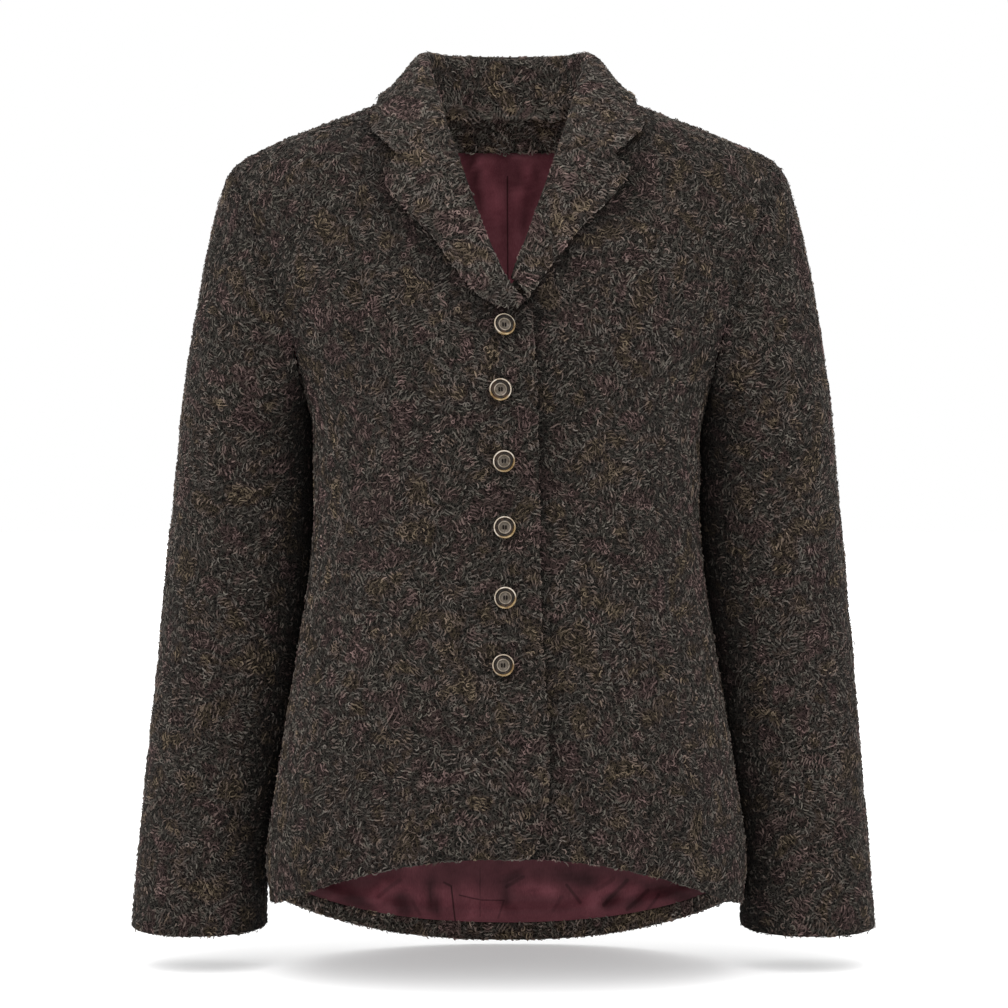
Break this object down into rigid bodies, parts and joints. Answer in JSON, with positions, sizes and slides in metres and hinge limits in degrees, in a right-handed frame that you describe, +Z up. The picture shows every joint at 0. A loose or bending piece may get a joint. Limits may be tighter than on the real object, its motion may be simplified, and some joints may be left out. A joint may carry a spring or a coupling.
{
  "type": "single-breasted tweed jacket",
  "caption": "Short tailored jacket of curly wool tweed with a notched collar, set-in sleeves, buttoned front and a hem that drops behind, filled out as worn.",
  "frame": {"origin": "between the shoulders at the base of the neck, on the plane of the side seams, where the wearer holds the jacket up", "axes": "+Z up, the front faces -Y, the wearer's left side is at +X"},
  "size_m": [0.585, 0.2551, 0.7207],
  "materials": {
    "tweed": "curly wool tweed",
    "lining_satin": "satin lining",
    "horn": "polished horn"
  },
  "bodies": {
    "root": {"front_right": "tweed", "front_left": "tweed", "back": "tweed", "back_neck_facing": "tweed", "lining_back": "lining_satin", "lapel_right": "tweed", "lapel_left": "tweed", "collar": "tweed", "sleeve_top_right": "tweed", "sleeve_under_right": "tweed", "sleeve_top_left": "tweed", "sleeve_under_left": "tweed", "button_1": "horn", "button_2": "horn", "button_3": "horn", "button_4": "horn", "button_5": "horn", "button_6": "horn"}
  },
  "joints": []
}
